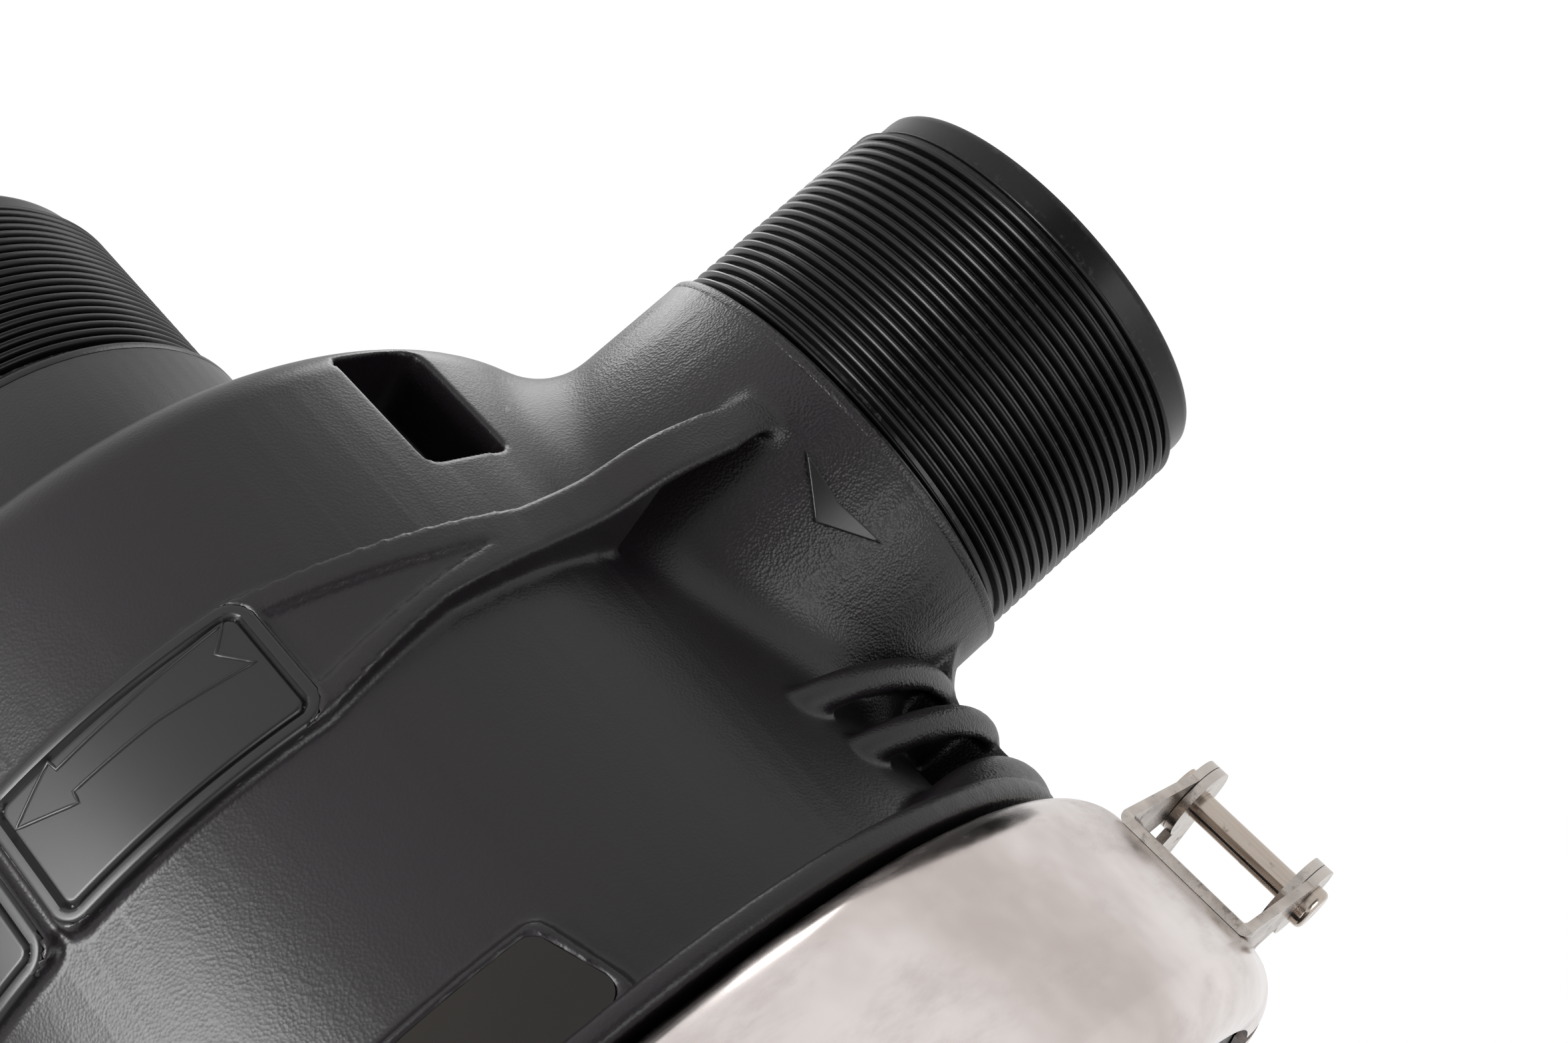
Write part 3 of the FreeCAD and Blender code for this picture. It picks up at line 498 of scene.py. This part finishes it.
def moulded_skin(node, name, voxel):
    """The node's shape, remeshed and smoothed until its edges are as soft as a moulding's."""
    source = merged_copy(node, name + "_source")
    remesh = source.modifiers.new("remesh", "REMESH")
    remesh.mode = "VOXEL"
    remesh.voxel_size = voxel * MM
    smooth = source.modifiers.new("smooth", "SMOOTH")
    smooth.factor = skin_smoothing
    smooth.iterations = skin_smoothing_passes
    dense = plain_mesh(source, name)
    bpy.data.objects.remove(source)
    return dense


def thin(piece, triangles):
    """The piece with as many triangles as given, or itself where it has fewer."""
    count = sum(len(face.vertices) - 2 for face in piece.data.polygons)
    if count <= triangles:
        return piece
    name = piece.name
    piece.name = name + "_dense"
    decimate = piece.modifiers.new("thin", "DECIMATE")
    decimate.ratio = triangles / count
    thinned = plain_mesh(piece, name)
    bpy.data.objects.remove(piece)
    return thinned


def tucked(radius, along):
    """How much a point of a port's wall is drawn in, at its radius and its distance from the mouth."""
    on_thread = along < thread_start + thread_length
    outer = tucked_outer_radius if on_thread else tucked_shoulder_radius
    return min(max(radius, tucked_inner_radius), outer) / radius


def panel_depth(across, up):
    """How far a point lies inside the rounded outline of a panel."""
    middle = 0.5 * (panel_bottom + panel_top)
    side = abs(across) - panel_half_width + panel_corner
    end = abs(up - middle) - 0.5 * (panel_top - panel_bottom) + panel_corner
    outside = math.hypot(max(side, 0.0), max(end, 0.0))
    return panel_corner - outside - min(max(side, end), 0.0)


def nearest_panel_depth(x, y, z):
    around = math.atan2(-x, -y)
    reach = shell_radius + panel_raise
    turns = [around - math.radians(turn) for turn in panel_turns]
    return max(panel_depth(reach * math.sin(turn), z) for turn in turns)


def tuck_skin(piece):
    """Tucks the skin under the turned port ends, their shoulders and the panels."""
    for vertex in piece.data.vertices:
        x, y, z = vertex.co / MM
        along = side_port_reach + x
        if along < shoulder_end:
            scale = tucked(math.hypot(y, z - side_port_height), along)
            start = max(along, tucked_end) - side_port_reach
            vertex.co = Vector((start, y * scale, side_port_height + (z - side_port_height) * scale)) * MM
        elif z < shoulder_end:
            scale = tucked(math.hypot(x, y), z)
            vertex.co = Vector((x * scale, y * scale, max(z, tucked_end))) * MM
        elif panel_bottom < z < panel_top and y < 0.0:
            radius = math.hypot(x, y)
            bed = shell_radius + panel_raise - panel_bed
            if radius > bed and nearest_panel_depth(x, y, z) > panel_overlap:
                vertex.co = Vector((x * bed / radius, y * bed / radius, z)) * MM


def soften(piece):
    """Lets the ends of the ledges and of the shelf ribs run out softly."""
    for number, (centre, reach, passes) in enumerate(soft_spots):
        group = piece.vertex_groups.new(name=f"soft_{number}")
        middle = Vector(centre) * MM
        for vertex in piece.data.vertices:
            gap = (vertex.co - middle).length / (reach * MM)
            if gap < 1.0:
                group.add([vertex.index], 1.0 - gap * gap, "REPLACE")
        smooth = piece.modifiers.new(group.name, "SMOOTH")
        smooth.factor = soft_smoothing
        smooth.iterations = passes
        smooth.vertex_group = group.name


def port_places():
    """Where an upright port goes: the bottom port stays, and the side port is turned to point along -X."""
    sideways = Matrix.Rotation(math.radians(90.0), 4, "Y")
    outwards = Matrix.Translation((-side_port_reach * MM, 0.0, side_port_height * MM))
    return (("bottom_port", Matrix.Identity(4)), ("side_port", outwards @ sideways))


def turned_ring(name, outline, place, material):
    edit = bmesh.new()
    profile = [edit.verts.new((radius * MM, 0.0, height * MM)) for radius, height in outline]
    edges = [edit.edges.new(pair) for pair in zip(profile, profile[1:] + profile[:1])]
    turn = 2.0 * math.pi
    bmesh.ops.spin(edit, geom=profile + edges, axis=(0, 0, 1), cent=(0, 0, 0), angle=turn, steps=port_steps)
    bmesh.ops.remove_doubles(edit, verts=edit.verts, dist=seam_gap * MM)
    bmesh.ops.recalc_face_normals(edit, faces=edit.faces)
    ring = new_mesh_object(name, edit)
    ring.data.transform(place)
    finish_piece(ring, "housing", material)
    sharpen(ring, 40.0)


def port_ends():
    """The turned ends of the two ports, from the rounded mouth to the shoulder of the neck."""
    for name, place in port_places():
        turned_ring(name + "_sleeve", port_outline, place, thread_finish)
        turned_ring(name + "_shoulder", shoulder_outline, place, finishes["body_black"])


def thread_sizes(length, pitch, root, crest):
    return {
        "Turns": length / pitch - 1.0,
        "Pitch": pitch * MM,
        "Root radius": (root - thread_sunk) * MM,
        "Ridge height": (crest - root + thread_sunk) * MM,
    }


def thread_tree():
    """A node group that sweeps one thread ridge along a helix, with the ridge run out at both ends."""
    tree = bpy.data.node_groups.new("thread_ridge", "GeometryNodeTree")
    for name in thread_sizes(1.0, 1.0, 1.0, 1.0):
        tree.interface.new_socket(name, in_out="INPUT", socket_type="NodeSocketFloat")
    tree.interface.new_socket("Finish", in_out="INPUT", socket_type="NodeSocketMaterial")
    tree.interface.new_socket("Geometry", in_out="OUTPUT", socket_type="NodeSocketGeometry")
    given = tree.nodes.new("NodeGroupInput")

    def size(name):
        return Shade(tree, given.outputs[name])

    spiral = add_node(tree, "GeometryNodeCurveSpiral", None, {
        "Resolution": thread_steps,
        "Rotations": size("Turns"),
        "Start Radius": size("Root radius"),
        "End Radius": size("Root radius"),
        "Height": size("Turns") * size("Pitch"),
    })
    upright = add_node(tree, "GeometryNodeSetCurveNormal", {"mode": "Z_UP"}, {"Curve": spiral})
    along = add_node(tree, "GeometryNodeSplineParameter")
    turn = along * size("Turns")
    run = (turn * thread_run_out).smallest((size("Turns") - turn) * thread_run_out)
    fade = add_node(tree, "ShaderNodeClamp", None, {"Value": run, "Min": least_ridge})
    ridge = add_node(tree, "GeometryNodeCurvePrimitiveQuadrilateral", {"mode": "POINTS"})
    for point, (across, rise) in ridge_corners.items():
        place = add_node(tree, "ShaderNodeCombineXYZ", None, {
            "X": size("Ridge height") * -rise,
            "Y": size("Pitch") * across,
        })
        tree.links.new(place.socket, ridge.socket.node.inputs[point])
    swept = add_node(tree, "GeometryNodeCurveToMesh", None, {
        "Curve": upright, "Profile Curve": ridge, "Scale": fade, "Fill Caps": True,
    })
    real = add_node(tree, "GeometryNodeRealizeInstances", None, {"Geometry": swept})
    finished = add_node(tree, "GeometryNodeSetMaterial", None, {
        "Geometry": real, "Material": size("Finish"),
    })
    result = tree.nodes.new("NodeGroupOutput")
    tree.links.new(finished.socket, result.inputs["Geometry"])
    return tree


def grown(tree, sizes, name, material):
    """The tree's result as a plain mesh object."""
    holder = bpy.data.objects.new(name + "_holder", bpy.data.meshes.new(name + "_holder"))
    bpy.context.scene.collection.objects.link(holder)
    modifier = holder.modifiers.new("grow", "NODES")
    modifier.node_group = tree
    for item in tree.interface.items_tree:
        if item.in_out == "INPUT" and item.name in sizes:
            modifier[item.identifier] = sizes[item.name]
        if item.in_out == "INPUT" and item.name == "Finish":
            modifier[item.identifier] = material
    made = plain_mesh(holder, name)
    bpy.data.objects.remove(holder)
    return made


def port_threads(tree):
    sizes = thread_sizes(thread_length, thread_pitch, thread_root_radius, thread_crest_radius)
    start = Matrix.Translation((0.0, 0.0, (thread_start + 0.5 * thread_pitch) * MM))
    for name, place in port_places():
        ridge = grown(tree, sizes, name + "_thread", thread_finish)
        ridge.data.transform(place @ start)
        finish_piece(ridge, "housing", thread_finish)


def threaded_bolt(tree):
    """The swing bolt with its shank turned down to the root of a thread, and the thread's ridge."""
    steel = finishes["hardware_steel"]
    bolt = merged_copy("swing_bolt", "threaded_bolt")
    low, high = bolt_thread_start, bolt_thread_end
    cuts = bmesh.new()
    cuts.from_mesh(bolt.data)
    for place in (low, low + bolt_root_taper):
        everything = cuts.verts[:] + cuts.edges[:] + cuts.faces[:]
        bmesh.ops.bisect_plane(cuts, geom=everything, plane_co=(place * MM, 0, 0), plane_no=(1, 0, 0))
    for vertex in cuts.verts:
        x, y, z = vertex.co / MM
        radius = math.hypot(y - bolt_axis[0], z - bolt_axis[1])
        if x > low + 0.5 * bolt_root_taper and radius > bolt_root_radius:
            scale = bolt_root_radius / radius
            y = bolt_axis[0] + (y - bolt_axis[0]) * scale
            z = bolt_axis[1] + (z - bolt_axis[1]) * scale
            vertex.co = Vector((x, y, z)) * MM
    cuts.to_mesh(bolt.data)
    cuts.free()
    finish_piece(bolt, "swing_bolt", steel, ["swing_bolt"])
    sharpen(bolt, 35.0)
    sizes = thread_sizes(high - low, bolt_pitch, bolt_root_radius, bolt_crest_radius)
    ridge = grown(tree, sizes, "bolt_thread", steel)
    axis = Matrix.Translation(Vector((low + 0.5 * bolt_pitch, *bolt_axis)) * MM)
    ridge.data.transform(axis @ Matrix.Rotation(math.radians(90.0), 4, "Y"))
    finish_piece(ridge, "swing_bolt", steel)


def on_side_neck(along, around, out):
    turn = around / neck_radius
    radius = neck_radius + out
    return Vector((along, -radius * math.cos(turn), side_port_height + radius * math.sin(turn)))


def on_panel(around, up, out):
    turn = around / (shell_radius + panel_raise)
    radius = shell_radius + panel_raise + out
    return Vector((-radius * math.sin(turn), -radius * math.cos(turn), up))


def wrap(piece, surface):
    """Lays a piece that was drawn flat, with its height as Z, round the surface."""
    for vertex in piece.data.vertices:
        vertex.co = surface(*vertex.co) * MM


def panel_relief(depth):
    """Height of a panel's surface at a depth inside its outline: rounded frame, groove and field."""
    if depth < 0.0:
        return -panel_wall_drop
    if depth < panel_edge_round:
        return math.sqrt(panel_edge_round ** 2 - (panel_edge_round - depth) ** 2) - panel_edge_round
    start, end = panel_groove
    if depth < start:
        return 0.0
    field = -panel_field_sunk if depth > 0.5 * (start + end) else 0.0
    if depth < end:
        dip = math.sin(math.pi * (depth - start) / (end - start)) ** 2
        return field - (panel_groove_depth + field) * dip
    return field


def framed_panels():
    """The two framed panels of the belt as fine relief."""
    reach = shell_radius + panel_raise
    half_height = 0.5 * (panel_top - panel_bottom)
    columns = int(2.0 * panel_half_width / panel_cell) + 2
    rows = int(2.0 * half_height / panel_cell) + 2
    for number, turn in enumerate(panel_turns):
        edit = bmesh.new()
        bmesh.ops.create_grid(edit, x_segments=columns, y_segments=rows, size=1.0)
        for vertex in edit.verts:
            across = vertex.co.x * (panel_half_width + panel_cell)
            up = panel_bottom + half_height + vertex.co.y * (half_height + panel_cell)
            around = math.asin(across / reach) + math.radians(turn)
            radius = reach + panel_relief(panel_depth(across, up))
            vertex.co = Vector((-radius * math.sin(around), -radius * math.cos(around), up)) * MM
        for face in edit.faces:
            face.normal_update()
        if sum(face.normal.dot(face.calc_center_median().xy.to_3d()) for face in edit.faces) < 0.0:
            bmesh.ops.reverse_faces(edit, faces=edit.faces)
        panel = new_mesh_object(f"belt_panel_{number + 1}", edit)
        finish_piece(panel, "housing", smooth_finish)
        sharpen(panel, 50.0)


def neck_arrowhead():
    """A smooth raised arrowhead that points into the shell."""
    edit = bmesh.new()
    corners = []
    for along, angle in arrowhead_corners:
        corners.append(edit.verts.new((along, math.radians(angle) * neck_radius, -arrowhead_root)))
    first, tip, last, notch = corners
    edit.faces.new((first, notch, tip))
    edit.faces.new((notch, last, tip))
    bmesh.ops.subdivide_edges(edit, edges=edit.edges, cuts=arrowhead_cuts, use_grid_fill=True)
    raised = bmesh.ops.extrude_face_region(edit, geom=edit.faces[:])
    top = [item for item in raised["geom"] if isinstance(item, bmesh.types.BMVert)]
    bmesh.ops.translate(edit, vec=(0.0, 0.0, arrowhead_height + arrowhead_root), verts=top)
    rim = [edge for edge in edit.edges if edge.is_manifold and abs(edge.calc_face_angle()) > 1.0]
    rim = [edge for edge in rim if min(v.co.z for v in edge.verts) > 0]
    bmesh.ops.bevel(edit, geom=rim, offset=arrowhead_bevel, segments=3, affect="EDGES", profile=0.6)
    bmesh.ops.recalc_face_normals(edit, faces=edit.faces)
    arrow = new_mesh_object("neck_arrowhead", edit)
    wrap(arrow, on_side_neck)
    finish_piece(arrow, "housing", smooth_finish)


def panel_flow_arrow():
    """The thin raised outline of a long arrow with a split tail."""
    curve = bpy.data.curves.new("flow_arrow_path", "CURVE")
    curve.dimensions = "3D"
    curve.bevel_depth = flow_arrow_line
    curve.bevel_resolution = 2
    corners = []
    for angle, height in flow_arrow_head:
        around = math.radians(angle) * (shell_radius + panel_raise)
        corners.append(Vector((around, height, -flow_arrow_sunk)))
    points = []
    for start, end in zip(corners, corners[1:] + corners[:1]):
        steps = max(2, int((end - start).length / flow_arrow_step))
        points += [start.lerp(end, step / steps) for step in range(steps)]
    spline = curve.splines.new("POLY")
    spline.points.add(len(points) - 1)
    for point, place in zip(spline.points, points):
        point.co = (*place, 1.0)
    spline.use_cyclic_u = True
    holder = bpy.data.objects.new("flow_arrow_holder", curve)
    bpy.context.scene.collection.objects.link(holder)
    arrow = plain_mesh(holder, "panel_flow_arrow")
    bpy.data.objects.remove(holder)
    wrap(arrow, on_panel)
    finish_piece(arrow, "housing", smooth_finish)


housing_skin = moulded_skin("housing", "housing_skin", skin_voxel)
tuck_skin(housing_skin)
soften(housing_skin)
housing_skin = thin(housing_skin, skin_triangles)
finish_piece(housing_skin, "housing", finishes["body_black"], ["housing"])
cover_skin = thin(moulded_skin("cover", "cover_skin", cover_voxel), cover_triangles)
finish_piece(cover_skin, cover_body, finishes["body_black"], ["cover"])
port_ends()
ridge_tree = thread_tree()
port_threads(ridge_tree)
threaded_bolt(ridge_tree)
framed_panels()
neck_arrowhead()
panel_flow_arrow()


# Finishes of the CAD nodes that show as they are

slot_of_node = {}
for entry in frame["record"]["subparts"]:
    slot_of_node[entry["node"]] = entry["material_slot"]

for name, node in nodes.items():
    slot = slot_of_node.get(name)
    if slot is None:
        continue
    for index in range(len(node.material_slots)):
        node.material_slots[index].material = turned_finish if name.endswith("_pin") else finishes[slot]


# Floor, world, lights and camera

def from_front(azimuth, elevation):
    """A direction given as degrees round from -Y towards +X, and degrees above the horizon."""
    turn, rise = math.radians(azimuth), math.radians(elevation)
    return Vector((math.sin(turn) * math.cos(rise), -math.cos(turn) * math.cos(rise), math.sin(rise)))


def staged_floor():
    """A pale floor that is white to the camera and in reflections, and keeps a faint shadow."""
    finish = Finish("floor_white", Roughness=0.9)
    finish.shader.inputs["Base Color"].default_value = (0.9, 0.9, 0.9, 1.0)
    camera_ray = finish.add("ShaderNodeLightPath", output=0)
    glossy_ray = finish.add("ShaderNodeLightPath", output=3)
    through_ray = finish.add("ShaderNodeLightPath", output=6)
    seen = camera_ray.largest(glossy_ray).largest(through_ray)
    white = finish.add("ShaderNodeEmission", None, {"Strength": camera_ray * floor_extra_to_camera + 1.0})
    mixed = finish.add("ShaderNodeMixShader", None, {
        0: seen * floor_white_share, 1: Shade(finish.tree, finish.shader.outputs[0]), 2: white,
    })
    output = finish.tree.nodes["Material Output"]
    finish.tree.links.new(mixed.socket, output.inputs["Surface"])
    edit = bmesh.new()
    bmesh.ops.create_grid(edit, x_segments=1, y_segments=1, size=floor_reach)
    floor = new_mesh_object("floor", edit)
    floor.data.materials.append(finish.material)


def studio_world():
    """White all round, and darker in reflections on the side where the camera stood."""
    world = bpy.data.worlds.new("studio")
    bpy.context.scene.world = world
    world.use_nodes = True
    tree = world.node_tree
    tree.nodes.clear()
    camera_ray = add_node(tree, "ShaderNodeLightPath", output=0)
    glossy_ray = add_node(tree, "ShaderNodeLightPath", output=3)
    through_ray = add_node(tree, "ShaderNodeLightPath", output=6)
    direction = add_node(tree, "ShaderNodeTexCoord", output=0)
    facing = add_node(tree, "ShaderNodeVectorMath", {"operation": "DOT_PRODUCT"}, {
        0: direction, 1: from_front(*dark_side),
    }, 1)
    dark = add_node(tree, "ShaderNodeMapRange", {"interpolation_type": "SMOOTHSTEP"}, {
        "Value": facing, "From Min": dark_side_rim, "From Max": dark_side_heart,
    })
    seen = camera_ray.largest(through_ray).largest(glossy_ray * (reflected_world - dark * dark_side_drop))
    strength = seen.largest((1.0 - camera_ray.largest(glossy_ray).largest(through_ray)) * diffuse_world)
    sky = add_node(tree, "ShaderNodeBackground", None, {"Color": (1, 1, 1, 1), "Strength": strength})
    output = tree.nodes.new("ShaderNodeOutputWorld")
    tree.links.new(sky.socket, output.inputs["Surface"])


def steel_parts():
    """The steel parts, as a collection that a light can leave out."""
    group = bpy.data.collections.new("steel_parts")
    for name, slot in slot_of_node.items():
        if slot in ("clamp_steel", "hardware_steel"):
            group.objects.link(nodes[name])
    for item in group.collection_objects:
        item.light_linking.link_state = "EXCLUDE"
    return group


def soft_light(name, place, aim, face, radiance, left_out=None):
    """A rectangular soft box, whose radiance is that of its face."""
    data = bpy.data.lights.new(name, "AREA")
    data.shape = "RECTANGLE"
    data.size, data.size_y = face
    data.energy = radiance * math.pi * face[0] * face[1]
    lamp = bpy.data.objects.new(name, data)
    bpy.context.scene.collection.objects.link(lamp)
    lamp.location = place
    lamp.rotation_euler = (aim - place).to_track_quat("-Z", "Y").to_euler()
    lamp.visible_camera = False
    if left_out:
        lamp.light_linking.receiver_collection = left_out


def photo_camera():
    azimuth, elevation, roll = camera_azimuth, camera_elevation, camera_roll
    level_share = math.cos(elevation)
    forward = Vector((
        math.sin(azimuth) * level_share, math.cos(azimuth) * level_share, -math.sin(elevation),
    ))
    level = Vector((math.cos(azimuth), -math.sin(azimuth), 0.0))
    upward = level.cross(forward)
    right = math.cos(roll) * level + math.sin(roll) * upward
    top = math.cos(roll) * upward - math.sin(roll) * level
    place = Matrix((right, top, -forward)).transposed().to_4x4()
    place.translation = camera_target - forward * camera_distance
    data = bpy.data.cameras.new("camera")
    data.sensor_width = sensor_width
    data.lens = focal_pixels / image_width * sensor_width
    data.clip_start = 0.01
    camera = bpy.data.objects.new("camera", data)
    bpy.context.scene.collection.objects.link(camera)
    camera.matrix_world = place
    bpy.context.scene.camera = camera


staged_floor()
studio_world()
photo_camera()
front_place = front_softbox_aim + from_front(*front_softbox_from_front) * front_softbox_distance
soft_light("front_softbox", front_place, front_softbox_aim, front_softbox_face, front_softbox_radiance)
soft_light("low_softbox", low_softbox_place, low_softbox_aim, low_softbox_face, low_softbox_radiance,
           steel_parts())
soft_light("under_port_softbox", under_port_softbox_place, under_port_softbox_aim, under_port_softbox_face,
           under_port_softbox_radiance)
bpy.context.scene.view_settings.view_transform = "Standard"
